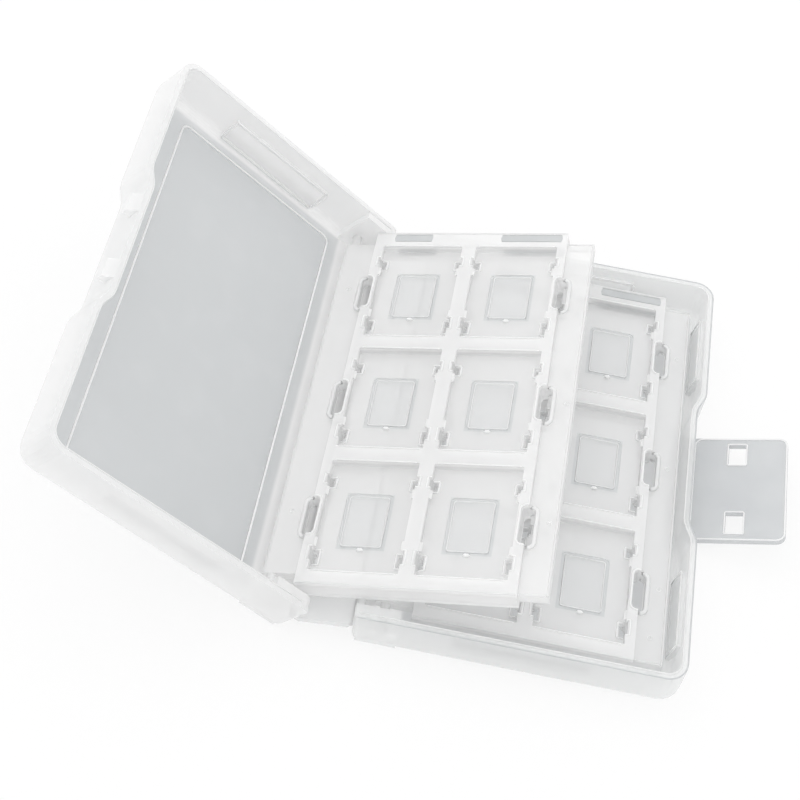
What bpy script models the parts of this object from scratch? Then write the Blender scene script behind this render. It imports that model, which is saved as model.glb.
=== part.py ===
# Snap-shut case for small game cards, moulded in frosted polypropylene, lying open like a book.
# Metres, +Z up. The origin is the middle of the rear cover's underside, +X points at the latch side
# and +Y runs along the spine. Both covers are drawn in one tray frame: u from the hinge face, y along
# the hinge, h up from the outer face. A leaf is drawn from its pegs: p across, y along, q through it.

import math

import bmesh
import bpy
from mathutils import Vector

# Case outside
closed_thickness = 0.027
rear_rim_height = 0.0126
rim_gap = 0.0003
wall = 0.0017
panel = 0.0015
bottom_round = 0.004
floor_round = 0.0022
latch_corner = 0.005
hinge_corner = 0.0015
corner_least = 0.0003
corner_steps = 5
round_steps = 5

# Hinges of the moulding
hinge_height = 0.0062
hinge_gap = 0.0003
spine_plate = 0.0015
spine_recess = 0.0018
hinge_lip = 0.0004
lip_taper = 0.0012

# Photographed pose
cover_angle = math.radians(39.5)
spine_droop = math.radians(8.0)
leaf_angle = math.radians(15.0)
strap_angle = math.radians(17.8)
leaf_float = 0.0008

# Bosses that hold the leaf pegs
boss_thickness = 0.0038
boss_past_peg = 0.0039
front_peg_offset = 0.0076
rear_peg_offset = 0.0066
front_peg_height = 0.0056
rear_peg_height = 0.0068
peg_radius = 0.0012
peg_clearance = 0.0003
peg_grip = 0.0016
peg_hole_depth = 0.0028
front_ear_round = 0.003
rear_ear_round = 0.0006
round_sides = 16

# Latch recess, strap and catches
recess_depth = 0.0021
recess_flat = 0.0326
recess_ramp = 0.007
ramp_steps = 4
strap_hinge_height = 0.0026
strap_length = 0.0248
strap_width = 0.0315
strap_thickness = 0.0016
strap_corner = 0.0022
tongue_root = 0.0024
catch_reach = 0.0123
catch_spacing = 0.0211
catch_width = 0.0056
catch_height = 0.0037
catch_clearance = 0.0003
catch_tip_height = 0.0015

# Clips that hold a printed sheet
clip_start = 0.0235
clip_length = 0.032
clip_top = 0.0098
clip_reach = 0.002
clip_thickness = 0.001
sheet_slot = 0.0009
free_clip_start = 0.0298
free_clip_length = 0.0205

# Clear window of the front cover
window_from_latch = 0.0115
window_from_ends = 0.007
window_from_hinge = 0.0145
window_depth = 0.0003

# Card leaf, sized by the cards it holds
rows = 3
columns = 2
card_length = 0.0315
card_width = 0.0216
row_gap = 0.0045
column_gap = 0.0037
side_band = 0.00245
near_band = 0.0039
far_band = 0.0052
heel_flange = 0.009
tip_flange = 0.007
leaf_heel = 0.0026
leaf_thickness = 0.0054
flange_thickness = 0.0024
web = 0.0012
leaf_tip_gap = 0.0004
leaf_end_gap = 0.0032
heel_flange_short = 0.0033
tip_flange_near_short = 0.0008
tip_flange_far_short = 0.0026
feature_shift = -0.0004

# Grips and frames in each pocket
slot_width = 0.0033
slot_length = 0.0105
slot_corner = 0.001
hole_width = 0.0017
near_hole_length = 0.0036
far_hole_length = 0.0026
hole_distance = 0.0108
hook_distance = 0.0074
hook_length = 0.0024
hook_reach = 0.0007
hook_height = 0.0009
hook_below_face = 0.0002
frame_width = 0.0116
frame_length = 0.016
frame_corner = 0.0012
frame_line = 0.0008
frame_depth = 0.0003

# The leaf follows from its cards, and the case from its leaves
row_pitch = card_length + row_gap
column_pitch = card_width + column_gap
block_length = near_band + rows * row_pitch - row_gap + far_band
block_width = columns * column_pitch - column_gap + 2 * side_band
block_start = heel_flange
block_end = block_start + block_width
block_middle = (block_start + block_end) / 2
leaf_width = block_end + tip_flange
peg_to_tip = leaf_width - leaf_heel
farthest_tip = max(front_peg_offset, rear_peg_offset) + peg_to_tip
case_width = farthest_tip + leaf_tip_gap + wall + recess_depth
case_length = block_length + 2 * (leaf_end_gap + wall)

# Other values worked out from the sizes above
front_rim_height = closed_thickness - rim_gap - rear_rim_height
spine_width = closed_thickness - 2 * hinge_height
half_length = case_length / 2
half_leaf = leaf_thickness / 2
half_flange = flange_thickness / 2
half_block = block_length / 2
pocket_edges = near_band - half_block
strap_axis = case_width - recess_depth + hinge_gap
front_peg = (front_peg_offset, front_peg_height - hinge_height)
rear_peg = (rear_peg_offset, rear_peg_height - hinge_height)
catch_from_face = closed_thickness - strap_hinge_height - catch_reach
overcut = 0.001
embed = 0.0006
merge_distance = 0.000001


# Small helpers

def clear_scene():
    for thing in list(bpy.data.objects):
        bpy.data.objects.remove(thing, do_unlink=True)


def plastic(name, colour, roughness):
    """Frosted polypropylene with a little light passing through it."""
    material = bpy.data.materials.new(name)
    material.use_nodes = True
    shader = material.node_tree.nodes["Principled BSDF"]
    shader.inputs["Base Color"].default_value = (*colour, 1.0)
    shader.inputs["Roughness"].default_value = roughness
    shader.inputs["Metallic"].default_value = 0.0
    shader.inputs["IOR"].default_value = 1.49
    shader.inputs["Transmission Weight"].default_value = 0.35
    return material


def object_from(name, points, faces, material=None):
    mesh = bpy.data.meshes.new(name)
    mesh.from_pydata([tuple(point) for point in points], [], faces)
    shape = bmesh.new()
    shape.from_mesh(mesh)
    bmesh.ops.remove_doubles(shape, verts=shape.verts, dist=merge_distance)
    bmesh.ops.dissolve_degenerate(shape, edges=shape.edges, dist=merge_distance)
    bmesh.ops.recalc_face_normals(shape, faces=shape.faces)
    shape.to_mesh(mesh)
    shape.free()
    made = bpy.data.objects.new(name, mesh)
    bpy.context.scene.collection.objects.link(made)
    if material:
        mesh.materials.append(material)
    return made


def arc(centre, radius, start, end, steps):
    """Points on an arc in a plane, angles in degrees."""
    angles = [math.radians(start + (end - start) * step / steps) for step in range(steps + 1)]
    return [(centre[0] + radius * math.cos(a), centre[1] + radius * math.sin(a)) for a in angles]


def rounded_rectangle(low, high, radius, steps):
    """Counter-clockwise outline of a rectangle with round corners."""
    (left, bottom), (right, top) = low, high
    corners = [
        ((right - radius, bottom + radius), -90),
        ((right - radius, top - radius), 0),
        ((left + radius, top - radius), 90),
        ((left + radius, bottom + radius), 180),
    ]
    return [point for centre, start in corners for point in arc(centre, radius, start, start + 90, steps)]


def rectangle(low, high):
    return [(low[0], low[1]), (high[0], low[1]), (high[0], high[1]), (low[0], high[1])]


def along_h(a, b, c):
    return Vector((a, b, c))


def along_y(a, b, c):
    """For an outline drawn in u and h and carried along -y."""
    return Vector((a, -c, b))


def along_u(a, b, c):
    """For an outline drawn in y and h and carried along u."""
    return Vector((c, a, b))


class Solids:
    """Closed prisms gathered into one helper or one piece."""

    def __init__(self):
        self.points = []
        self.faces = []

    def prism(self, outline, low, high, place=along_h):
        """An outline, counter-clockwise, carried from low to high."""
        first = len(self.points)
        count = len(outline)
        for level in (low, high):
            self.points += [place(a, b, level) for a, b in outline]
        self.faces.append([first + i for i in reversed(range(count))])
        self.faces.append([first + count + i for i in range(count)])
        for i in range(count):
            j = (i + 1) % count
            self.faces.append([first + i, first + j, first + count + j, first + count + i])

    def lofted(self, rings):
        """A skin through rings of equally many points, closed by the first and the last ring."""
        first = len(self.points)
        count = len(rings[0])
        for ring in rings:
            self.points += [Vector(point) for point in ring]
        self.faces.append([first + i for i in reversed(range(count))])
        last = first + count * (len(rings) - 1)
        self.faces.append([last + i for i in range(count)])
        for level in range(len(rings) - 1):
            base = first + level * count
            for i in range(count):
                j = (i + 1) % count
                self.faces.append([base + i, base + j, base + count + j, base + count + i])

    def ring_prism(self, outer, inner, low, high, place=along_h):
        """A frame between two outlines of equally many points, carried from low to high."""
        first = len(self.points)
        count = len(outer)
        for outline, level in ((outer, low), (inner, low), (inner, high), (outer, high)):
            self.points += [place(a, b, level) for a, b in outline]
        for side in range(4):
            here = first + side * count
            after = first + (side + 1) % 4 * count
            for i in range(count):
                j = (i + 1) % count
                self.faces.append([here + j, here + i, after + i, after + j])

    def piece(self, name, material=None):
        return object_from(name, self.points, self.faces, material)

    def helper(self, name):
        made = self.piece(name)
        made.hide_render = True
        made.display_type = "WIRE"
        return made


def combine(target, helper, operation):
    """Adds a Boolean that joins the helper to the target or cuts it out."""
    helper.parent = target
    step = target.modifiers.new(helper.name, "BOOLEAN")
    step.operation = operation
    step.solver = "EXACT"
    step.object = helper


def shade(piece):
    piece.data.shade_smooth()
    piece.data.set_sharp_from_angle(angle=math.radians(30))


# Covers

def ramp(y):
    """1 in the flat of the latch recess, 0 outside it, with a smooth step between."""
    reach = (abs(y) - recess_flat / 2) / recess_ramp
    reach = min(max(reach, 0.0), 1.0)
    return (1 + math.cos(math.pi * reach)) / 2


def plan(inset):
    """Plan outline of a cover, drawn in by inset, with the latch recess in its free side."""
    latch = max(latch_corner - inset, corner_least)
    hinge = max(hinge_corner - inset, corner_least)
    left, right = inset, case_width - inset
    end = half_length - inset
    points = arc((right - latch, -end + latch), latch, -90, 0, corner_steps)
    ramp_ends = [recess_flat / 2 + recess_ramp * step / ramp_steps for step in range(ramp_steps + 1)]
    for y in [-y for y in reversed(ramp_ends)] + ramp_ends:
        points.append((right - recess_depth * ramp(y), y))
    points += arc((right - latch, end - latch), latch, 0, 90, corner_steps)
    points += arc((left + hinge, end - hinge), hinge, 90, 180, corner_steps)
    points += arc((left + hinge, -end + hinge), hinge, 180, 270, corner_steps)
    return points


def tray_rings(rim_height):
    """Rings up the outside, over the rim and down the inside of a cover, in the hinge frame."""
    def ring(inset, height):
        return [(u, y, height - hinge_height) for u, y in plan(inset)]

    rings = []
    for step in range(round_steps + 1):
        turn = math.pi / 2 * step / round_steps
        height = bottom_round * (1 - math.cos(turn))
        rings.append(ring(bottom_round * (1 - math.sin(turn)), height))
    rings.append(ring(0.0, rim_height))
    rings.append(ring(wall, rim_height))
    for step in range(round_steps + 1):
        turn = math.pi / 2 * (1 - step / round_steps)
        inset = wall + floor_round * (1 - math.sin(turn))
        rings.append(ring(inset, panel + floor_round * (1 - math.cos(turn))))
    return rings


def clip_section(side, from_wall):
    """Section of a sheet clip: a flap from high on a wall, leaning in towards the panel."""
    slope_top = clip_top - clip_thickness
    tip = panel + sheet_slot
    reach = from_wall + clip_reach
    points = [
        (from_wall - embed, clip_top - hinge_height),
        (from_wall - embed, slope_top - 2 * clip_thickness - hinge_height),
        (reach - clip_thickness, tip - hinge_height),
        (reach, tip - hinge_height),
        (reach, tip + clip_thickness - hinge_height),
        (from_wall + clip_thickness, clip_top - hinge_height),
    ]
    return [(side(across), height) for across, height in points]


def add_clips(solids, free_side):
    """Sheet clips on both end walls and, on the rear cover, on the latch-side wall."""
    near = clip_section(lambda across: across - half_length, wall)
    far = clip_section(lambda across: half_length - across, wall)
    solids.prism(near, clip_start, clip_start + clip_length, along_u)
    solids.prism(far[::-1], clip_start, clip_start + clip_length, along_u)
    if not free_side:
        return
    section = clip_section(lambda across: case_width - across, wall)
    for start in (free_clip_start, -free_clip_start - free_clip_length):
        solids.prism(section[::-1], start, start + free_clip_length, along_y)


def add_bosses(solids, peg_place, rim_height):
    """Thick ends of the end walls, beside the hinge, that hold the leaf pegs."""
    for side in (-1, 1):
        inner = side * (half_length - boss_thickness)
        outer = side * (half_length - wall / 2)
        low, high = min(inner, outer), max(inner, outer)
        outline = rectangle((wall / 2, low), (peg_place[0] + boss_past_peg, high))
        solids.prism(outline, panel / 2 - hinge_height, rim_height - hinge_height)


def add_catches(solids):
    """Two wedges on the recess face, square towards the panel and sloped towards the rim."""
    root = case_width - recess_depth - embed
    tip = case_width
    square = catch_from_face - catch_height / 2 - hinge_height
    slope = catch_from_face + catch_height / 2 - hinge_height
    outline = [
        (root, square),
        (tip, square),
        (tip, square + catch_tip_height),
        (case_width - recess_depth, slope),
        (root, slope),
    ]
    for side in (-1, 1):
        middle = side * catch_spacing / 2
        solids.prism(outline, middle - catch_width / 2, middle + catch_width / 2, along_y)


def add_tongue(solids):
    """Plate that carries the strap's hinge across the recess of the rear cover."""
    start, end = strap_axis - tongue_root, strap_axis
    top = strap_hinge_height - hinge_height
    under = top - strap_thickness
    outline = [
        (start, under),
        (end - lip_taper, under),
        (end, top - hinge_lip),
        (end, top),
        (start, top),
    ]
    solids.prism(outline, -strap_width / 2, strap_width / 2, along_y)


def ear_cuts(ear_round, rim_height):
    """Rounds the free corner of each ear, where an end wall meets the hinge face."""
    cuts = Solids()
    top = rim_height - hinge_height
    corner = arc((ear_round, top - ear_round), ear_round, 90, 180, round_steps)
    corner += [(-overcut, top - ear_round), (-overcut, top + overcut), (ear_round, top + overcut)]
    for side in (-1, 1):
        ends = sorted((side * (half_length - boss_thickness - overcut), side * (half_length + overcut)))
        cuts.prism(corner[::-1], ends[0], ends[1], along_y)
    return cuts


def cover_cuts(peg_place, rim_height, window):
    """Hinge-side opening, peg holes and, in front, the clear window."""
    cuts = Solids()
    clear = half_length - boss_thickness
    opening = rectangle((-overcut, -clear), (wall + overcut, clear))
    cuts.prism(opening, 0.0, rim_height - hinge_height + overcut)
    hole = arc(peg_place, peg_radius + peg_clearance, 0, 360 - 360 / round_sides, round_sides - 1)
    for side in (-1, 1):
        ends = sorted((side * (clear - overcut), side * (clear + peg_hole_depth)))
        cuts.prism(hole, ends[0], ends[1], along_y)
    if window:
        low = (window_from_hinge, -half_length + window_from_ends)
        high = (case_width - window_from_latch, half_length - window_from_ends)
        cuts.prism(rectangle(low, high), panel - window_depth - hinge_height, panel + overcut - hinge_height)
    return cuts


def make_cover(name, material, front):
    rim_height = front_rim_height if front else rear_rim_height
    peg_place = front_peg if front else rear_peg
    skin = Solids()
    skin.lofted(tray_rings(rim_height))
    cover = skin.piece(name, material)
    extras = Solids()
    add_bosses(extras, peg_place, rim_height)
    add_clips(extras, free_side=not front)
    if front:
        add_catches(extras)
    else:
        add_tongue(extras)
    combine(cover, extras.helper(name + "_additions"), "UNION")
    cuts = cover_cuts(peg_place, rim_height, window=front)
    combine(cover, cuts.helper(name + "_cuts"), "DIFFERENCE")
    ears = ear_cuts(front_ear_round if front else rear_ear_round, rim_height)
    combine(cover, ears.helper(name + "_ears"), "DIFFERENCE")
    shade(cover)
    return cover


# Spine and strap

def make_spine(material):
    """Plate between the two hinge lines, thinned to a lip along each of them."""
    top = -hinge_gap
    under = top - spine_plate
    near, far = -hinge_gap, -spine_width + hinge_gap
    outline = [
        (near, top),
        (far, top),
        (far, top - hinge_lip),
        (far + lip_taper, under),
        (near - lip_taper, under),
        (near, top - hinge_lip),
    ]
    end = half_length - spine_recess
    solids = Solids()
    solids.prism(outline, -end, end, along_y)
    spine = solids.piece("spine", material)
    shade(spine)
    return spine


def make_strap(material):
    """Closing strap below its hinge plane: thin hinge edge, round tip corners, two catch holes."""
    half = strap_width / 2
    start = hinge_gap
    tip = strap_length
    outline = [(start, half), (start, -half)]
    outline += arc((tip - strap_corner, -half + strap_corner), strap_corner, -90, 0, corner_steps)
    outline += arc((tip - strap_corner, half - strap_corner), strap_corner, 0, 90, corner_steps)
    solids = Solids()
    solids.prism(outline, -strap_thickness, 0.0)
    strap = solids.piece("latch_strap", material)
    cuts = Solids()
    taper = [
        (start - overcut, -hinge_lip),
        (start, -hinge_lip),
        (start + lip_taper, -strap_thickness),
        (start + lip_taper, -strap_thickness - overcut),
        (start - overcut, -strap_thickness - overcut),
    ]
    cuts.prism(taper, -half - overcut, half + overcut, along_y)
    half_hole = catch_height / 2 + catch_clearance
    half_across = catch_width / 2 + catch_clearance
    for side in (-1, 1):
        middle = side * catch_spacing / 2
        low = (catch_reach - half_hole, middle - half_across)
        high = (catch_reach + half_hole, middle + half_across)
        cuts.prism(rectangle(low, high), -strap_thickness - overcut, overcut)
    combine(strap, cuts.helper("latch_strap_cuts"), "DIFFERENCE")
    shade(strap)
    return strap


# Leaves

def pocket_places():
    """Middle of each card pocket: p across the leaf and y along it."""
    for row in range(rows):
        y = pocket_edges + card_length / 2 + row * row_pitch
        for column in range(columns):
            yield block_start + side_band + card_width / 2 + column * column_pitch, y


def leaf_section():
    """Section across a leaf: round heel, flange, thick block, flange."""
    heel = arc((half_flange - leaf_heel, 0.0), half_flange, 270, 90, corner_steps + 3)
    left, right = block_start - leaf_heel, block_end - leaf_heel
    tip = leaf_width - leaf_heel
    lower = [(left, -half_flange), (left, -half_leaf), (right, -half_leaf), (right, -half_flange)]
    upper = [(right, half_flange), (right, half_leaf), (left, half_leaf), (left, half_flange)]
    return heel[::-1] + lower + [(tip, -half_flange), (tip, half_flange)] + upper


def leaf_cuts():
    """Card pockets on both faces."""
    cuts = Solids()
    for p, y in pocket_places():
        low = (p - card_width / 2 - leaf_heel, y - card_length / 2)
        high = (p + card_width / 2 - leaf_heel, y + card_length / 2)
        cuts.prism(rectangle(low, high), web / 2, half_leaf + overcut)
        cuts.prism(rectangle(low, high), -half_leaf - overcut, -web / 2)
    return cuts


def leaf_holes():
    """Finger slots in the block's edges, hook holes beside each pocket and the short flange ends."""
    cuts = Solids()
    through = half_leaf + overcut
    for p, y in pocket_places():
        side = 1 if p > block_middle else -1
        middle = y + feature_shift
        edge = block_middle + side * block_width / 2 - leaf_heel
        low = (edge - slot_width / 2, middle - slot_length / 2)
        high = (edge + slot_width / 2, middle + slot_length / 2)
        cuts.prism(rounded_rectangle(low, high, slot_corner, 2), -through, through)
        for across in (-1, 1):
            at = p + across * (card_width / 2 - hook_reach / 2) - leaf_heel
            for along, length in ((-1, near_hole_length), (1, far_hole_length)):
                hole = middle + along * hole_distance
                low = (at - hole_width / 2, hole - length / 2)
                high = (at + hole_width / 2, hole + length / 2)
                cuts.prism(rectangle(low, high), -through, through)
    heel = (-leaf_heel - overcut, block_start - leaf_heel)
    tip = (block_end - leaf_heel, leaf_width - leaf_heel + overcut)
    for (left, right), near_short, far_short in (
        (heel, heel_flange_short, heel_flange_short),
        (tip, tip_flange_near_short, tip_flange_far_short),
    ):
        outside = half_block + overcut
        near = rectangle((left, -outside), (right, near_short - half_block))
        far = rectangle((left, half_block - far_short), (right, outside))
        cuts.prism(near, -through, through)
        cuts.prism(far, -through, through)
    return cuts


def leaf_frames():
    """Fine round-cornered frame sunk into the floor of each pocket, on both faces."""
    cuts = Solids()
    for p, y in pocket_places():
        middle = (p - leaf_heel, y + feature_shift)
        outer, inner = [
            rounded_rectangle(
                (middle[0] - frame_width / 2 + inset, middle[1] - frame_length / 2 + inset),
                (middle[0] + frame_width / 2 - inset, middle[1] + frame_length / 2 - inset),
                frame_corner - inset,
                2,
            )
            for inset in (0.0, frame_line)
        ]
        floor = web / 2 - frame_depth
        cuts.ring_prism(outer, inner, floor, web / 2 + overcut)
        cuts.ring_prism(outer, inner, -web / 2 - overcut, -floor)
    return cuts


def leaf_additions():
    """Pegs at both ends of the heel, and the small hooks that keep a card in its pocket."""
    extras = Solids()
    peg = arc((0.0, 0.0), peg_radius, 0, 360 - 360 / round_sides, round_sides - 1)
    flange_end = half_block - heel_flange_short
    peg_end = half_length - boss_thickness + peg_grip
    for side in (-1, 1):
        ends = sorted((side * (flange_end - embed), side * peg_end))
        extras.prism(peg, ends[0], ends[1], along_y)
    top = half_leaf - hook_below_face
    for p, y in pocket_places():
        for across in (-1, 1):
            wall_at = p + across * card_width / 2 - leaf_heel
            for face in (-1, 1):
                section = [
                    (wall_at + across * embed, face * top),
                    (wall_at - across * hook_reach / 2, face * top),
                    (wall_at - across * hook_reach, face * (top - hook_height / 3)),
                    (wall_at + across * embed, face * (top - hook_height)),
                ]
                if across * face < 0:
                    section.reverse()
                for along in (-1, 1):
                    middle = y + feature_shift + along * hook_distance
                    extras.prism(section, -middle - hook_length / 2, -middle + hook_length / 2, along_y)
    return extras


def make_leaf(name, material):
    solids = Solids()
    solids.prism(leaf_section(), -half_block, half_block, along_y)
    leaf = solids.piece(name, material)
    combine(leaf, leaf_cuts().helper(name + "_pockets"), "DIFFERENCE")
    combine(leaf, leaf_holes().helper(name + "_holes"), "DIFFERENCE")
    combine(leaf, leaf_additions().helper(name + "_additions"), "UNION")
    combine(leaf, leaf_frames().helper(name + "_frames"), "DIFFERENCE")
    shade(leaf)
    return leaf


# Assembly

def assemble():
    clear_scene()
    covers = plastic("frosted_polypropylene_cover", (0.86, 0.87, 0.88), 0.38)
    leaves = plastic("frosted_polypropylene_leaf", (0.9, 0.9, 0.91), 0.34)
    rear = make_cover("rear_cover", covers, front=False)
    front = make_cover("front_cover", covers, front=True)
    spine = make_spine(covers)
    strap = make_strap(covers)
    page_rear = make_leaf("page_rear", leaves)
    page_front = make_leaf("page_front", leaves)

    # The rear cover lies on the table and carries the spine, the strap and its leaf.
    rear.location = (-case_width / 2, 0, hinge_height)
    spine.parent = rear
    spine.rotation_euler = (0, -spine_droop, 0)
    strap.parent = rear
    strap.location = (strap_axis, 0, strap_hinge_height - hinge_height)
    strap.rotation_euler = (0, -strap_angle, 0)
    page_rear.parent = rear
    page_rear.location = (rear_peg[0], 0, rear_peg[1])

    # The front cover faces the other way round, so it is turned half round and then raised.
    front.parent = spine
    front.location = (-spine_width, 0, 0)
    front.rotation_euler = (0, -(cover_angle + spine_droop), math.pi)
    page_front.parent = front
    page_front.location = (front_peg[0], -leaf_float, front_peg[1])
    page_front.rotation_euler = (0, -(cover_angle + leaf_angle), math.pi)


assemble()
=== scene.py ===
"""Open snap-shut card case in frosted polypropylene: finishes, hinge films and moulded details."""

import math

import bpy
import numpy as np
from mathutils import Matrix, Vector


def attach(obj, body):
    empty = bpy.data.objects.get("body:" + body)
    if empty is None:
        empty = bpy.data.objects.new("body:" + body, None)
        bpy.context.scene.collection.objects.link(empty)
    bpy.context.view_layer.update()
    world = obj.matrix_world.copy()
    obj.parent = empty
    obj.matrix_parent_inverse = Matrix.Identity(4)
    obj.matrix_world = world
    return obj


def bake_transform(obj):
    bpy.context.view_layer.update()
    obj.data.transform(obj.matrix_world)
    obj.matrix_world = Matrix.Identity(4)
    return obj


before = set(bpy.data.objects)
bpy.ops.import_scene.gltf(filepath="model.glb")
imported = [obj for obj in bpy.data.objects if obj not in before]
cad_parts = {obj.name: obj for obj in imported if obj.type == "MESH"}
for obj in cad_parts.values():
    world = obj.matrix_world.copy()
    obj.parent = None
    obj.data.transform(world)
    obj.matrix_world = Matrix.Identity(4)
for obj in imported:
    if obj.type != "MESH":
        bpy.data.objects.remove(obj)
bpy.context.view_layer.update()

mm = 0.001

# Sizes of the case, in millimetres, as the solids have them
case_width = 77.0
case_length = 122.4
rear_rim_height = 12.6
front_rim_height = 14.1
panel = 1.5
wall = 1.7
hinge_height = 6.2
spine_width = 14.6
hinge_gap = 0.3
hinge_lip = 0.4
spine_recess = 1.8
latch_corner = 5.0

# Clips that hold a sheet of paper against a panel
clip_start = 23.5
clip_length = 32.0
clip_top = 9.8
clip_reach = 2.0
clip_thickness = 1.0
sheet_slot = 0.9
free_clip_start = 29.8
free_clip_length = 20.5

# Latch recess, strap and catches
recess_depth = 2.1
recess_flat = 32.6
recess_ramp = 7.0
strap_hinge_height = 2.6
strap_width = 31.5
strap_length = 24.8
catch_reach = 12.3
catch_spacing = 21.1
catch_height = 3.7
catch_width = 5.6
catch_clearance = 0.3

# Pose of the pieces in the photograph, in degrees
cover_angle = 39.5
spine_droop = 8.0
leaf_angle = 15.0
strap_angle = 17.8

# Leaf
rows = 3
card_length = 31.5
card_width = 21.6
row_gap = 4.5
column_gap = 3.7
side_band = 2.45
near_band = 3.9
far_band = 5.2
heel_flange = 9.0
tip_flange = 7.0
tip_near_short = 0.8
tip_far_short = 2.6
leaf_heel = 2.6
leaf_thickness = 5.4
flange_thickness = 2.4
web = 1.2
feature_shift = -0.4
front_peg = (7.6, 5.6)
rear_peg = (6.6, 6.8)
leaf_float = 0.8
slot_width = 3.3
slot_length = 10.5
near_hole_length = 3.6
far_hole_length = 2.6
hole_distance = 10.8
frame_width = 11.6
frame_length = 16.0
frame_line = 0.8

# Window of the front cover
window_from_latch = 11.5
window_from_ends = 7.0
window_from_hinge = 14.5

# Values worked out from the sizes above
strap_axis = case_width - recess_depth + hinge_gap
row_pitch = card_length + row_gap
column_pitch = card_width + column_gap
block_length = near_band + rows * row_pitch - row_gap + far_band
block_width = 2 * column_pitch - column_gap + 2 * side_band
block_end = heel_flange + block_width
half_block = block_length / 2
half_length = case_length / 2
leaf_top = leaf_thickness / 2
flange_top = flange_thickness / 2


# Places: each moulding has a frame of its own, in which its points are given in millimetres

def moulding_frame(origin, along, up, flip=1.0):
    """Frame of a moulding: the point (a, b, c) in it is origin + a * along + b * flip * y + c * up."""
    return {
        "origin": np.array(origin, float),
        "axes": np.array([along, (0.0, flip, 0.0), up], float),
    }


def placed(points, place):
    """Millimetres in a moulding's frame to metres in the scene, as one matrix product."""
    return (place["origin"] + np.asarray(points, float) @ place["axes"]) * mm


def leaning(degrees):
    """Directions along and up from a plate that rises by an angle towards +X."""
    angle = math.radians(degrees)
    return (
        np.array((math.cos(angle), 0.0, math.sin(angle))),
        np.array((-math.sin(angle), 0.0, math.cos(angle))),
    )


# The rear tray and its leaf lie flat, and the strap and the spine lean off the tray's two sides
hinge_side = -case_width / 2
rear_tray = moulding_frame((hinge_side, 0, 0), (1, 0, 0), (0, 0, 1))
rear_leaf = moulding_frame((hinge_side + rear_peg[0] - leaf_heel, 0, rear_peg[1]), (1, 0, 0), (0, 0, 1))
strap_root = np.array((hinge_side + strap_axis, 0, strap_hinge_height))
strap_frame = moulding_frame(strap_root, *leaning(strap_angle))
rear_hinge = np.array((hinge_side, 0, hinge_height))
spine_along, spine_up = leaning(spine_droop)
spine_frame = moulding_frame(rear_hinge, spine_along, spine_up)

# The front cover rises from the spine towards -X, and its length runs the other way. Its leaf turns on
# pegs in it, and leans back over the rear tray
front_hinge = rear_hinge - spine_width * spine_along
cover_along, cover_up = [direction * (-1, 1, 1) for direction in leaning(cover_angle)]
front_tray = moulding_frame(front_hinge - hinge_height * cover_up, cover_along, cover_up, flip=-1.0)
front_pivot = front_tray["origin"] + front_peg[0] * cover_along + front_peg[1] * cover_up
leaf_along, leaf_up = leaning(leaf_angle)
front_leaf = moulding_frame(front_pivot - leaf_heel * leaf_along + (0, leaf_float, 0), leaf_along, leaf_up)


# Meshes

def mesh_piece(name, points, quads, material):
    """A mesh from arrays of corner points and four-sided faces."""
    mesh = bpy.data.meshes.new(name)
    mesh.vertices.add(len(points))
    mesh.vertices.foreach_set("co", np.ascontiguousarray(points, dtype=np.float32).ravel())
    mesh.loops.add(quads.size)
    mesh.loops.foreach_set("vertex_index", quads.ravel().astype(np.int32))
    mesh.polygons.add(len(quads))
    mesh.polygons.foreach_set("loop_start", np.arange(0, quads.size, 4, dtype=np.int32))
    mesh.polygons.foreach_set("loop_total", np.full(len(quads), 4, dtype=np.int32))
    mesh.update(calc_edges=True)
    mesh.validate()
    mesh.materials.append(material)
    made = bpy.data.objects.new(name, mesh)
    bpy.context.scene.collection.objects.link(made)
    return made


def skin(rings, closed_path):
    """Faces over rings that run right, up, left and down as seen along their path, all facing outwards.

    Ring i joins ring i + 1, and each ring closes on itself. The two end rings of an open path are closed
    by fans of four-sided faces from their first points, so a ring has an even number of points.
    """
    count, around = rings.shape[0], rings.shape[1]
    steps = count if closed_path else count - 1
    i = np.arange(steps)[:, None]
    j = np.arange(around)[None, :]
    following = (i + 1) % count
    beside = (j + 1) % around
    corners = [i * around + j, following * around + j, following * around + beside, i * around + beside]
    quads = np.stack(corners, -1).reshape(-1, 4)
    if not closed_path:
        k = np.arange(1, around - 1, 2)
        fan = np.stack([0 * k, k, k + 1, k + 2], 1)
        quads = np.concatenate([quads, fan, fan[:, ::-1] + (count - 1) * around])
    return rings.reshape(-1, 3), quads


def gather(parts):
    """Several point and face arrays as one, each face array moved on by the points before it."""
    points = np.concatenate([part[0] for part in parts])
    starts = np.cumsum([0] + [len(part[0]) for part in parts[:-1]])
    quads = np.concatenate([part[1] + start for part, start in zip(parts, starts)])
    return points, quads


# A bead's section, and how small its ends are
bead_sides = 8
sunk_share = 0.1
end_share = 0.05


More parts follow.
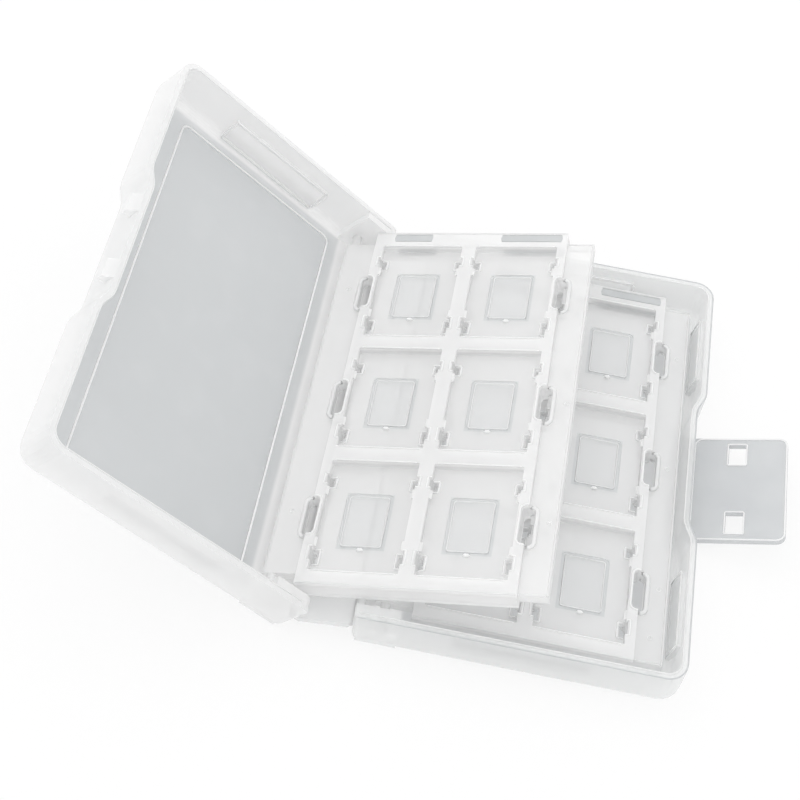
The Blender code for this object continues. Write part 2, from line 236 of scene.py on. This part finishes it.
def bead(path, width, height, closed=False, up=(0, 0, 1), narrowing=None):
    """Half-round bead along a path on a flat face that looks towards up.

    Ring i sits at path[i]; its points are the path point plus width / 2 * cos(t) across the path and
    height * sin(t) up, for t round a full turn, with the lower half sunk to a small share of the height.
    An open bead narrows at each end, over half its width unless another length is given.
    """
    path = np.asarray(path, float)
    up = np.array(up, float)
    if closed:
        ahead = np.roll(path, -1, 0) - np.roll(path, 1, 0)
    else:
        into = np.stack([path[1] - path[0], path[-2] - path[-1]])
        into *= (narrowing or width / 2) / np.linalg.norm(into, axis=1, keepdims=True)
        path = np.concatenate([path[:1], path[:1] + into[:1], path[1:-1], path[-1:] + into[1:], path[-1:]])
        ahead = np.gradient(path, axis=0)
    across = np.cross(ahead, up)
    across /= np.linalg.norm(across, axis=1, keepdims=True)
    t = np.linspace(0, 2 * math.pi, bead_sides, endpoint=False)
    rise = np.where(np.sin(t) > 0, np.sin(t), sunk_share * np.sin(t)) * height
    size = np.ones((len(path), 1, 1))
    if not closed:
        size[[0, -1]] = end_share
    rings = path[:, None, :] + size * (
        across[:, None, :] * (np.cos(t) * width / 2)[None, :, None] + up * rise[None, :, None])
    return skin(rings, closed)


def trim(name, beads, place, finish, body):
    """Beads of one finish as one smooth piece that rides on a body."""
    points, quads = gather(beads)
    made = mesh_piece(name, placed(points, place), quads, finish)
    made.data.shade_smooth()
    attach(made, body)


arc_steps = 6
straight_steps = 4


def rounded_path(low, high, radius):
    """Closed path round a rectangle whose corners are quarter circles."""
    (left, near), (right, far) = low, high
    t = np.linspace(0, math.pi / 2, arc_steps)
    corners = []
    for x, y, start in (
        (right - radius, near + radius, -0.5),
        (right - radius, far - radius, 0.0),
        (left + radius, far - radius, 0.5),
        (left + radius, near + radius, 1.0),
    ):
        angle = start * math.pi + t
        corners.append(np.stack([x + radius * np.cos(angle), y + radius * np.sin(angle)], 1))
    return np.concatenate(corners)


def straight(first, last, count=straight_steps):
    """Evenly spaced points from one point to another."""
    return np.linspace(first, last, count)


def at_level(flat_path, level):
    """A path drawn in plan, lifted to one level of its moulding."""
    return np.column_stack([flat_path, np.full(len(flat_path), level)])


# Materials

def linear(hex_colour):
    """sRGB hex to linear red, green, blue and 1."""
    channels = [int(hex_colour[i:i + 2], 16) / 255 for i in (0, 2, 4)]
    return [c / 12.92 if c <= 0.04045 else ((c + 0.055) / 1.055) ** 2.4 for c in channels] + [1.0]


def add_node(tree, kind, inputs=None, **settings):
    """A node with its settings. Each input is a value, a socket, or a node that gives its first output."""
    made = tree.nodes.new(kind)
    for key, value in settings.items():
        setattr(made, key, value)
    for key, value in (inputs or {}).items():
        if isinstance(value, bpy.types.Node):
            value = value.outputs[0]
        if isinstance(value, bpy.types.NodeSocket):
            tree.links.new(value, made.inputs[key])
        else:
            made.inputs[key].default_value = value
    return made


def offset_from(tree, point, place, axis, centre):
    """How far each point lies past a plane across one axis of a moulding, in metres."""
    direction = place["axes"][axis]
    level = (place["origin"] @ direction + centre) * mm
    along = add_node(tree, "ShaderNodeVectorMath", {0: point, 1: tuple(direction)}, operation="DOT_PRODUCT")
    return add_node(tree, "ShaderNodeMath", {0: along.outputs["Value"], 1: level}, operation="SUBTRACT")


def distance_from(tree, point, place, axis, centre):
    """The same on both sides of the plane, never negative."""
    offset = offset_from(tree, point, place, axis, centre)
    return add_node(tree, "ShaderNodeMath", {0: offset}, operation="ABSOLUTE")


# A frame line in a pocket: how softly it starts and ends, and how clear the middle of the frame is
line_start = (-0.1, 0.2)
line_end_blur = 0.3
frame_inside = 0.45


def frame_shade(tree, point, place):
    """Share of clearer plastic in a pocket: full in the sunk frame line, less inside it, none outside.

    The two columns fold onto one about the leaf's middle and the rows wrap onto one, so that one distance
    from the frame's outline, the larger of the two sideways distances, draws all the frames.
    """
    middle_row = near_band - half_block + card_length / 2 + row_pitch + feature_shift
    column = distance_from(tree, point, place, 0, heel_flange + block_width / 2)
    column = add_node(tree, "ShaderNodeMath", {0: column, 1: column_pitch / 2 * mm}, operation="SUBTRACT")
    column = add_node(tree, "ShaderNodeMath", {0: column}, operation="ABSOLUTE")
    column = add_node(tree, "ShaderNodeMath", {0: column, 1: frame_width / 2 * mm}, operation="SUBTRACT")
    row = add_node(tree, "ShaderNodeMath", {
        0: offset_from(tree, point, place, 1, middle_row),
        1: row_pitch / 2 * mm,
        2: -row_pitch / 2 * mm,
    }, operation="WRAP")
    row = add_node(tree, "ShaderNodeMath", {0: row}, operation="ABSOLUTE")
    row = add_node(tree, "ShaderNodeMath", {0: row, 1: frame_length / 2 * mm}, operation="SUBTRACT")
    out = add_node(tree, "ShaderNodeMath", {0: column, 1: row}, operation="MAXIMUM")
    outside = add_node(tree, "ShaderNodeMapRange", {
        "Value": out,
        "From Min": line_start[0] * mm,
        "From Max": line_start[1] * mm,
        "To Min": 1.0,
        "To Max": 0.0,
    }, interpolation_type="SMOOTHSTEP")
    line = add_node(tree, "ShaderNodeMapRange", {
        "Value": out,
        "From Min": -(frame_line + line_end_blur) * mm,
        "From Max": -frame_line * mm,
        "To Min": frame_inside,
        "To Max": 1.0,
    }, interpolation_type="SMOOTHSTEP")
    return add_node(tree, "ShaderNodeMath", {0: outside, 1: line}, operation="MULTIPLY")


# Milky clouds in the plastic and the spark texture of the mould, in millimetres. The grain is drawn
# several times as coarse as the real one, which is too fine to show
flow_cloud = 9.0
cloud_roughness = 0.45
cloud_swing = 0.05
grain_size = 0.5
grain_roughness = 0.5
grain_depth = 0.004
grain_gloss = 0.02
noise_detail = 2.0
noise_low = 0.3
noise_high = 0.7
polypropylene_ior = 1.49
plan_blur = 1.5


def started(name):
    """New material with an empty node tree, and its Object coordinates."""
    material = bpy.data.materials.new(name)
    material.use_nodes = True
    tree = material.node_tree
    tree.nodes.clear()
    return material, tree, add_node(tree, "ShaderNodeTexCoord").outputs["Object"]


def melt_cloud(tree, point, low, high):
    """Slow cloud between two values, as where the melt flowed thicker."""
    flow = add_node(tree, "ShaderNodeTexNoise", {
        "Vector": point,
        "Scale": 1 / (flow_cloud * mm),
        "Detail": noise_detail,
        "Roughness": cloud_roughness,
    })
    return add_node(tree, "ShaderNodeMapRange", {
        "Value": flow.outputs["Fac"],
        "From Min": noise_low,
        "From Max": noise_high,
        "To Min": low,
        "To Max": high,
    })


def frosted(tree, point, base, blurred, rough, opacity):
    """Shader of textured polypropylene: a look is a number where it is even, and linked where it varies.

    Part of the light goes straight through, part goes through blurred and the rest comes back milky, so
    shaded sides stay bright. A fine grain breaks the gloss.
    """
    grain = add_node(tree, "ShaderNodeTexNoise", {
        "Vector": point,
        "Scale": 1 / (grain_size * mm),
        "Detail": noise_detail,
        "Roughness": grain_roughness,
    }).outputs["Fac"]
    uneven = add_node(tree, "ShaderNodeMapRange", {
        "Value": grain,
        "From Min": noise_low,
        "From Max": noise_high,
        "To Min": -grain_gloss,
        "To Max": grain_gloss,
    })
    gloss = add_node(tree, "ShaderNodeMath", {0: rough, 1: uneven}, operation="ADD")
    bump = add_node(tree, "ShaderNodeBump", {
        "Height": grain,
        "Distance": grain_depth * mm,
        "Strength": 1.0,
    })
    shader = add_node(tree, "ShaderNodeBsdfPrincipled", {
        "Base Color": base,
        "Metallic": 0.0,
        "IOR": polypropylene_ior,
        "Roughness": gloss,
        "Transmission Weight": blurred,
        "Alpha": opacity,
        "Normal": bump,
    })
    add_node(tree, "ShaderNodeOutputMaterial", {"Surface": shader})


def even_plastic(name, look, cloud_colour):
    """Frosted polypropylene of one thickness, whose colour drifts a little between two."""
    material, tree, point = started(name)
    colour = add_node(tree, "ShaderNodeMix", {
        "Factor": melt_cloud(tree, point, 0.0, 1.0),
        6: linear(look[0]),
        7: linear(cloud_colour),
    }, data_type="RGBA")
    frosted(tree, point, colour.outputs[2], *look[1:])
    return material


def moulded_plastic(name, thin, thick, place, rise, plan=None, frames=None):
    """Frosted polypropylene whose thin plates look clearer and greyer, and thick walls and ribs whiter. On
    the covers that grey is painted shade.

    thin and thick are (colour, blurred share, roughness, opacity), and the share of thick grows with the
    distance from a plane of the moulding, in millimetres from rise[0] to rise[1]. Where the two agree, the
    value is set on the shader itself. plan gives the middle and the half sizes of the thin plate, and
    frames the colour of the clearer frames in a leaf. A slow cloud makes the milkiness uneven.
    """
    material, tree, point = started(name)
    cloud = melt_cloud(tree, point, -cloud_swing, cloud_swing)
    thickness = add_node(tree, "ShaderNodeMapRange", {
        "Value": distance_from(tree, point, place, 2, 0.0),
        "From Min": rise[0] * mm,
        "From Max": rise[1] * mm,
    }, interpolation_type="SMOOTHSTEP")
    for axis, (centre, half) in enumerate(plan or ()):
        edge = add_node(tree, "ShaderNodeMapRange", {
            "Value": distance_from(tree, point, place, axis, centre),
            "From Min": half * mm,
            "From Max": (half + plan_blur) * mm,
        }, interpolation_type="SMOOTHSTEP")
        thickness = add_node(tree, "ShaderNodeMath", {0: thickness, 1: edge}, operation="MAXIMUM")
    share = add_node(tree, "ShaderNodeMath", {0: cloud, 1: thickness}, operation="ADD", use_clamp=True)
    base = linear(thin[0])
    if thick[0] != thin[0]:
        base = add_node(tree, "ShaderNodeMix", {
            "Factor": share,
            6: base,
            7: linear(thick[0]),
        }, data_type="RGBA").outputs[2]
    if frames:
        base = add_node(tree, "ShaderNodeMix", {
            "Factor": frame_shade(tree, point, place),
            6: base,
            7: linear(frames),
        }, data_type="RGBA").outputs[2]
    looks = [
        low if low == high
        else add_node(tree, "ShaderNodeMapRange", {"Value": share, "To Min": low, "To Max": high})
        for low, high in zip(thin[1:], thick[1:])
    ]
    frosted(tree, point, base, *looks)
    return material


# Thin plates are smooth and clear, walls are milky: sRGB colour, blurred share, roughness, opacity
# The grey of the thin cover plates is painted shade: the shaded floor under them seen through clear plastic
thin_cover_painted_shade = ("CFD2D4", 0.30, 0.34, 0.58)
thick_cover = ("FDFDFD", 0.13, 0.38, 0.58)
grey_cover = ("F9FAFA", 0.15, 0.38, 0.50)
thin_leaf = ("FEFEFE", 0.12, 0.34, 0.48)
thick_leaf = ("FEFEFE", 0.10, 0.38, 0.66)
strap_painted_shade_look = ("CACDD0", 0.29, 0.345, 0.58)
spine_look = ("F0F1F2", 0.20, 0.345, 0.46)
film_look = ("FDFDFD", 0.12, 0.38, 0.60)
# The next two looks are a painted highlight: whiter, more opaque plastic for the beads on rounded edges
soft_painted_highlight_look = ("FFFFFF", 0.10, 0.38, 0.72)
painted_highlight_look = ("FFFFFF", 0.05, 0.34, 0.96)
grey_bar_and_painted_shade_look = ("DADDDF", 0.20, 0.34, 0.70)
frame_colour = "EEF0F1"

# The thin panel lies inside the rounded bottom edges and stops short of the thicker hinge side. It is
# given as the middle and half size, from the hinge and along it
thick_hinge_side = 11.5
rounded_side = 5.0
panel_half = (case_width - rounded_side - thick_hinge_side) / 2
panel_plan = ((thick_hinge_side + panel_half, panel_half), (0.0, half_length - rounded_side))

tray_rise = (1.6, 3.0)
leaf_rise = (1.3, 2.4)
front_plastic = moulded_plastic(
    "moulded_frosted_polypropylene_front", thin_cover_painted_shade, thick_cover, front_tray, tray_rise, panel_plan)
rear_plastic = moulded_plastic(
    "moulded_frosted_polypropylene_rear", thin_cover_painted_shade, grey_cover, rear_tray, tray_rise, panel_plan)
front_leaf_plastic = moulded_plastic(
    "moulded_milky_polypropylene_front_leaf",
    thin_leaf, thick_leaf, front_leaf, leaf_rise, frames=frame_colour)
rear_leaf_plastic = moulded_plastic(
    "moulded_milky_polypropylene_rear_leaf",
    thin_leaf, thick_leaf, rear_leaf, leaf_rise, frames=frame_colour)

# The strap and the spine are single plates, clearer than the walls. The strap's grey is painted shade: the
# shaded floor under it seen through clear plastic
strap_painted_shade_plastic = even_plastic("clear_polypropylene_strap_painted_shade", strap_painted_shade_look, "D2D5D7")
spine_plastic = even_plastic("moulded_thin_polypropylene_spine", spine_look, "F5F6F6")

# A hinge line is whitened where it was flexed, and the beads on rounded edges carry a painted highlight in
# whiter, more opaque plastic: both show as white lines
film_plastic = even_plastic("flexed_polypropylene_hinge", film_look, "F8F9F9")
soft_highlight_plastic = even_plastic("soft_edge_polypropylene_painted_highlight", soft_painted_highlight_look, "FAFBFB")
highlight_plastic = even_plastic("edge_polypropylene_painted_highlight", painted_highlight_look, "FBFCFC")

# Greyer bars near the far end of each leaf, and a greyer line round the rear cover's outer rim: that line
# is painted shade, where the rim is seen edge on
grey_bar_and_painted_shade_plastic = even_plastic("grey_bars_and_painted_shade_polypropylene", grey_bar_and_painted_shade_look, "E0E3E4")

finishes = {
    "front_cover": front_plastic,
    "rear_cover": rear_plastic,
    "spine": spine_plastic,
    "latch_strap": strap_painted_shade_plastic,
    "page_front": front_leaf_plastic,
    "page_rear": rear_leaf_plastic,
}
for node_name, finish in finishes.items():
    for material_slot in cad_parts[node_name].material_slots:
        material_slot.material = finish


# Hinge films. Each reaches a little way over the edge of each moulding that it joins

film_thickness = 0.3
film_steps = 13
film_depth = hinge_gap + hinge_lip / 2
over_plate = 0.75
over_tray = 0.35
strap_film_short = 0.2


def film(name, first, last, half_width):
    """Living hinge: a thin straight strip between two mouldings, in steps along its line.

    At each step from the first point to the last, the strip is a rectangle film_thickness high and two
    half widths long, square to its line. The two points are in metres and the half width in millimetres.
    """
    ahead = (last - first) / np.linalg.norm(last - first)
    up = np.array((-ahead[2], 0.0, ahead[0])) * np.sign(ahead[0])
    half = up * film_thickness / 2 * mm
    right = np.cross(ahead, up) * half_width * mm
    section = np.stack([right + half, half - right, -right - half, right - half])
    rings = np.linspace(first, last, film_steps)[:, None, :] + section
    points, quads = skin(rings, False)
    made = mesh_piece(name, points, quads, film_plastic)
    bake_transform(made)


hinge_length = half_length - spine_recess
film("rear_hinge_film",
     placed((over_tray, 0, hinge_height - film_depth), rear_tray),
     placed((-over_plate, 0, -film_depth), spine_frame),
     hinge_length)
film("front_hinge_film",
     placed((over_plate - spine_width, 0, -film_depth), spine_frame),
     placed((over_tray, 0, hinge_height - film_depth), front_tray),
     hinge_length)
film("strap_hinge_film",
     placed((strap_axis - over_tray, 0, strap_hinge_height - hinge_lip / 2), rear_tray),
     placed((over_plate, 0, -hinge_lip / 2), strap_frame),
     strap_width / 2 - strap_film_short)


# Details of a leaf, in whiter plastic that carries a painted highlight. A bead is given as its width and
# height

line_inset = 0.25
edge_short = 0.3
edge_bead = (0.5, 0.15)
slot_rim_out = 0.35
slot_corner = 1.5
slot_bead = (1.1, 0.5)
slot_block_share = 0.98
slot_block_bead = (0.45, 0.2)
hole_rim_out = 0.25
hole_corner = 0.1
hole_floor_reach = 1.55
hole_floor_bead = (0.4, 0.25)
hole_band_reach = 0.85
hole_band_bead = (0.35, 0.15)
brow_out = 0.2
brow_short = 0.6
brow_bead = (0.4, 0.15)
frame_line_inset = 0.15
frame_corner = 0.6
frame_bead = (0.3, 0.08)
nub_half = 0.9
nub_bead = (1.0, 0.35)
mark_radius = 0.5
mark_steps = 12
mark_bead = (0.2, 0.08)
bar_spans = ((14.1, 24.6), (43.1, 59.5))
bar_from_end = 2.0
bar_bead = (2.6, 0.05)
bar_narrowing = 0.3


def pockets():
    """Middle of each pocket, and the side of the leaf that its finger slot is on: -1 heel, 1 tip."""
    for row in range(rows):
        y = near_band - half_block + card_length / 2 + row * row_pitch
        for column, side in ((0, -1), (1, 1)):
            yield heel_flange + side_band + card_width / 2 + column * column_pitch, y, side


def slot_rim(edge, middle, reach):
    """D-shaped path round one half of a finger slot, from the block's edge out and back to it.

    reach is 1 towards the tip and -1 towards the heel, and a smaller share draws the path in.
    """
    out = slot_width / 2 + slot_rim_out
    half = slot_length / 2 + slot_rim_out
    t = np.linspace(0, math.pi / 2, arc_steps)
    near = np.stack([
        out - slot_corner + slot_corner * np.sin(t),
        -half + slot_corner - slot_corner * np.cos(t),
    ], 1)
    path = np.concatenate([[(0.0, -half)], near, near[::-1] * (1, -1), [(0.0, half)]])
    return path * (reach, 1) + (edge, middle)


def hole_rim(wall_at, direction, reach, middle, length):
    """U-shaped path round one side of a hook hole, from the pocket's wall out and back to it."""
    half = length / 2 + hole_rim_out
    shoulder = wall_at + direction * reach
    crown = wall_at + direction * (reach + hole_corner)
    return np.array([
        (wall_at, middle - half),
        (shoulder, middle - half),
        (crown, middle - half + hole_corner),
        (crown, middle + half - hole_corner),
        (shoulder, middle + half),
        (wall_at, middle + half),
    ])


def pocket_edges(p, y, side):
    """Crisp edges of a pocket, whose beads carry a painted highlight: slot in the block, hook holes, brows
    of the end walls and nub.
    """
    middle = y + feature_shift
    edge = heel_flange + (block_width if side > 0 else 0.0)
    slot = slot_rim(edge, middle, -side * slot_block_share)
    beads = [bead(at_level(slot, leaf_top), *slot_block_bead)]
    for across in (-1, 1):
        wall_at = p + across * card_width / 2
        for along, length in ((-1, near_hole_length), (1, far_hole_length)):
            hole = middle + along * hole_distance
            on_floor = hole_rim(wall_at, -across, hole_floor_reach, hole, length)
            on_band = hole_rim(wall_at, across, hole_band_reach, hole, length)
            beads.append(bead(at_level(on_floor, web / 2), *hole_floor_bead))
            beads.append(bead(at_level(on_band, leaf_top), *hole_band_bead))
    for outward in (-1, 1):
        at = y + outward * (card_length / 2 + brow_out)
        reach = card_width / 2 - brow_short
        beads.append(bead(at_level(straight((p - reach, at), (p + reach, at)), leaf_top), *brow_bead))
    at = middle - frame_length / 2
    nub = straight((p - nub_half, at), (p + nub_half, at), 2)
    beads.append(bead(at_level(nub, web / 2), *nub_bead))
    return beads


def pocket_lines(p, y, side):
    """Soft lines of painted highlight in a pocket: slot in the flange, and the inner edge of the frame."""
    middle = y + feature_shift
    edge = heel_flange + (block_width if side > 0 else 0.0)
    centre = np.array((p, middle))
    half = np.array((frame_width, frame_length)) / 2 - frame_line - frame_line_inset
    inner = rounded_path(centre - half, centre + half, frame_corner)
    return [
        bead(at_level(slot_rim(edge, middle, side), flange_top), *slot_bead),
        bead(at_level(inner, web / 2), *frame_bead, closed=True),
    ]


def mark_ring(p, y):
    """Small round path for an ejector mark."""
    t = np.linspace(0, 2 * math.pi, mark_steps, endpoint=False)
    return np.stack([p + mark_radius * np.cos(t), y + mark_radius * np.sin(t)], 1)


def both_faces(beads):
    """Beads of a leaf's upper face, and the same turned over onto its lower face, still facing outwards."""
    points, quads = gather(beads)
    return [(points, quads), (points * (1, 1, -1), quads[:, ::-1])]


def leaf_details(name, place, body, marks):
    """Moulded edges on both faces of a leaf, whose whiter beads carry a painted highlight, and the two
    greyer bars near its far end.
    """
    tip = block_end + tip_flange - line_inset
    block_ends = (line_inset - half_block, half_block - line_inset)
    flange_ends = (tip_near_short + line_inset - half_block, half_block - tip_far_short - line_inset)
    runs = [((heel_flange + edge_short, y), (block_end - edge_short, y), leaf_top) for y in block_ends]
    runs += [((block_end + edge_short, y), (tip - edge_short, y), flange_top) for y in flange_ends]
    runs.append(((tip, flange_ends[0]), (tip, flange_ends[1]), flange_top))
    lines = [bead(at_level(straight(first, last), level), *edge_bead) for first, last, level in runs]
    edges = []
    for p, y, side in pockets():
        edges += pocket_edges(p, y, side)
        lines += pocket_lines(p, y, side)
    for p, y in marks:
        lines.append(bead(at_level(mark_ring(p, y - half_block), flange_top), *mark_bead, closed=True))
    at = half_block - bar_from_end
    bars = [
        bead(at_level(straight((first, at), (last, at)), leaf_top), *bar_bead, narrowing=bar_narrowing)
        for first, last in bar_spans
    ]
    trim(name, both_faces(edges), place, highlight_plastic, body)
    trim(name + "_fine_painted_highlight", both_faces(lines), place, soft_highlight_plastic, body)
    trim(name + "_grey_bars", both_faces(bars), place, grey_bar_and_painted_shade_plastic, body)


# Ejector marks on the flanges, from the heel and from the near end
front_marks = [(4.1, 93.1), (3.9, 21.0), (66.0, 56.1), (65.8, 20.9)]
rear_marks = [(64.3, 7.7), (65.1, 93.0), (65.1, 56.8), (65.5, 21.2)]
leaf_details("front_leaf_details", front_leaf, "page_front", front_marks)
leaf_details("rear_leaf_details", rear_leaf, "page_rear", rear_marks)


# Window line of the front cover: a bead whose whiter, more opaque plastic is a painted highlight

window_line_out = 0.3
window_corner = 2.0
window_bead = (0.6, 0.2)
window = rounded_path(
    (window_from_hinge - window_line_out, window_from_ends - window_line_out - half_length),
    (case_width - window_from_latch + window_line_out, half_length - window_from_ends + window_line_out),
    window_corner)
trim("window_line", [bead(at_level(window, panel), *window_bead, closed=True)],
     front_tray, highlight_plastic, "front_cover")


# Painted highlights on the edges of the covers' rims and sheet clips

rim_arc_steps = 8
rim_recess_steps = 41
rim_side_steps = 6
rim_side_short = 1.0
rim_line_inset = 0.2
inner_rim_bead = (0.4, 0.12)
outer_rim_bead = (0.35, 0.1)
front_rim_start = 3.2
rear_rim_start = 1.0
clip_bead = (0.7, 0.7 / 3)


def rim_path(inset, start):
    """Open path along a rim: near wall, latch corner, latch recess with cosine ramps, far wall."""
    right, end = case_width - inset, half_length - inset
    radius = latch_corner - inset
    t = np.linspace(0, math.pi / 2, rim_arc_steps)
    corner = np.stack([right - radius + radius * np.sin(t), -end + radius - radius * np.cos(t)], 1)
    y = np.linspace(-recess_flat / 2 - recess_ramp, recess_flat / 2 + recess_ramp, rim_recess_steps)
    reach = np.clip((np.abs(y) - recess_flat / 2) / recess_ramp, 0, 1)
    latch = np.stack([right - recess_depth * (1 + np.cos(math.pi * reach)) / 2, y], 1)
    near = straight((start, -end), (right - radius - rim_side_short, -end), rim_side_steps)
    return np.concatenate([near, corner, latch, corner[::-1] * (1, -1), near[::-1] * (1, -1)])


def clip_edges(start, length, corner, along, inward):
    """Beads round a clip's leaning face, which looks inward and a little up: top, bottom and two ends.

    corner is the point of the tray's outer wall where the clip's count begins, along runs beside the wall
    and inward goes from the wall into the tray.
    """
    corner, along, inward = np.array(corner, float), np.array(along, float), np.array(inward, float)
    upward = np.array((0, 0, 1.0))
    top_reach, foot_reach = wall + clip_thickness, wall + clip_reach
    foot_height = panel + sheet_slot + clip_thickness
    facing = inward * (clip_top - foot_height) + upward * (foot_reach - top_reach)
    facing /= np.linalg.norm(facing)
    ends = [corner + along * at for at in (start, start + length)]
    upper = [end + inward * top_reach + upward * clip_top for end in ends]
    lower = [end + inward * foot_reach + upward * foot_height for end in ends]
    sides = [(upper[0], upper[1]), (lower[0], lower[1]), (upper[0], lower[0]), (upper[1], lower[1])]
    return [bead(straight(first, last), *clip_bead, up=facing) for first, last in sides]


def cover_edges(name, place, body, rim_height, rim_start, free_side):
    """Light lines where the inner rim and the sheet clips are rounded in the mould, as a painted highlight
    in whiter plastic.

    free_side says whether two more clips stand on the side away from the hinge. The cover that has them
    also gets a greyer line round its outer rim, a painted shade where the rim is seen edge on.
    """
    clips = []
    for side in (-1, 1):
        clips += clip_edges(clip_start, clip_length, (0, side * half_length, 0), (1, 0, 0), (0, -side, 0))
    if free_side:
        for side in (-1, 1):
            clips += clip_edges(
                free_clip_start, free_clip_length, (case_width, 0, 0), (0, side, 0), (-1, 0, 0))
    trim(name, clips, place, highlight_plastic, body)
    inner = at_level(rim_path(wall - rim_line_inset, rim_start), rim_height)
    trim(name + "_fine_painted_highlight", [bead(inner, *inner_rim_bead)], place, soft_highlight_plastic, body)
    if free_side:
        outer = at_level(rim_path(rim_line_inset, rim_start), rim_height)
        trim(name + "_outer_painted_shade", [bead(outer, *outer_rim_bead)], place, grey_bar_and_painted_shade_plastic, body)


cover_edges("front_cover_edges", front_tray, "front_cover", front_rim_height, front_rim_start, False)
cover_edges("rear_cover_edges", rear_tray, "rear_cover", rear_rim_height, rear_rim_start, True)


# Rounded edges of the strap and of its catch holes, with a painted highlight in their whiter plastic

strap_flat_start = 1.6
strap_corner = 2.0
strap_bead = (0.45, 0.12)
catch_rim_out = 0.2
catch_corner = 0.4
catch_bead = (0.4, 0.15)
half_strap = strap_width / 2 - line_inset
strap_outline = rounded_path(
    (strap_flat_start, -half_strap), (strap_length - line_inset, half_strap), strap_corner)
strap_beads = [bead(at_level(strap_outline, 0.0), *strap_bead, closed=True)]
catch_half = np.array((catch_height, catch_width)) / 2 + catch_clearance + catch_rim_out
for side in (-1, 1):
    catch_middle = np.array((catch_reach, side * catch_spacing / 2))
    catch_rim = rounded_path(catch_middle - catch_half, catch_middle + catch_half, catch_corner)
    strap_beads.append(bead(at_level(catch_rim, 0.0), *catch_bead, closed=True))
trim("strap_edges", strap_beads, strap_frame, highlight_plastic, "latch_strap")


# Floor, light and camera

floor_half = 3.0
floor_white_share = 0.8
paper_colour = "FAFAFA"
paper_roughness = 0.9


def lay_floor():
    """Square sheet of matt white paper, in metres: even and dull, so that it shows only the soft shadow.

    The camera, glosses and the plastic see it mixed with plain white, which keeps the background white
    without more light on the case.
    """
    sheet = bpy.data.meshes.new("floor")
    corners = [(x * floor_half, y * floor_half, 0) for x, y in ((-1, -1), (1, -1), (1, 1), (-1, 1))]
    sheet.from_pydata(corners, [], [(0, 1, 2, 3)])
    floor = bpy.data.objects.new("floor", sheet)
    bpy.context.scene.collection.objects.link(floor)
    paper = bpy.data.materials.new("matt_white_paper")
    paper.use_nodes = True
    tree = paper.node_tree
    tree.nodes.clear()
    dull = add_node(tree, "ShaderNodeBsdfPrincipled", {
        "Base Color": linear(paper_colour), "Roughness": paper_roughness})
    white = add_node(tree, "ShaderNodeEmission", {"Color": linear("FFFFFF"), "Strength": 1.0})
    path = add_node(tree, "ShaderNodeLightPath")
    seen = path.outputs["Is Camera Ray"]
    for ray in ("Is Glossy Ray", "Is Transmission Ray"):
        seen = add_node(tree, "ShaderNodeMath", {0: seen, 1: path.outputs[ray]}, operation="MAXIMUM")
    share = add_node(tree, "ShaderNodeMath", {0: seen, 1: floor_white_share}, operation="MULTIPLY")
    mixed = add_node(tree, "ShaderNodeMixShader", {0: share, 1: dull, 2: white})
    add_node(tree, "ShaderNodeOutputMaterial", {"Surface": mixed})
    sheet.materials.append(paper)


lay_floor()

# White surroundings at plain strength give most of the light
world = bpy.data.worlds.new("studio")
bpy.context.scene.world = world
world.use_nodes = True
world.node_tree.nodes.clear()
surroundings = add_node(world.node_tree, "ShaderNodeBackground", {"Color": (1, 1, 1, 1), "Strength": 1.0})
add_node(world.node_tree, "ShaderNodeOutputWorld", {"Surface": surroundings})

# One weak softbox, in metres and watts, gives the soft shadow
softbox_place = Vector((-0.35, 0.35, 0.8))
softbox = bpy.data.lights.new("softbox", "AREA")
softbox.shape = "SQUARE"
softbox.size = 0.7
softbox.energy = 1.0
lamp = bpy.data.objects.new("softbox", softbox)
lamp.location = softbox_place
lamp.rotation_euler = (-softbox_place).to_track_quat("-Z", "Y").to_euler()
bpy.context.scene.collection.objects.link(lamp)

# Camera worked out from points of the photograph: millimetres, degrees, and pixels of its picture
focal_pixels = 1642.47
azimuth = math.radians(-3.84)
elevation = math.radians(52.49)
roll = math.radians(7.91)
look_at = np.array((-45.73, 11.9, 0.0))
distance = 428.54
centre_shift = (-26.03, -4.35)
picture = 800
sensor = 36.0

look = np.array((
    math.sin(azimuth) * math.cos(elevation),
    math.cos(azimuth) * math.cos(elevation),
    -math.sin(elevation)))
level_right = np.cross(look, (0, 0, 1.0))
level_right /= np.linalg.norm(level_right)
level_up = np.cross(level_right, look)
rolled_right = math.cos(roll) * level_right + math.sin(roll) * level_up
rolled_up = -math.sin(roll) * level_right + math.cos(roll) * level_up
camera_data = bpy.data.cameras.new("camera")
camera_data.lens = focal_pixels / picture * sensor
camera_data.sensor_width = sensor
camera_data.shift_x = -centre_shift[0] / picture
camera_data.shift_y = centre_shift[1] / picture
camera = bpy.data.objects.new("camera", camera_data)
matrix = np.eye(4)
matrix[:3, :3] = np.column_stack([rolled_right, rolled_up, -look])
matrix[:3, 3] = (look_at - distance * look) * mm
camera.matrix_world = Matrix(matrix.tolist())
bpy.context.scene.collection.objects.link(camera)
bpy.context.scene.camera = camera
bpy.context.scene.view_settings.view_transform = "Standard"
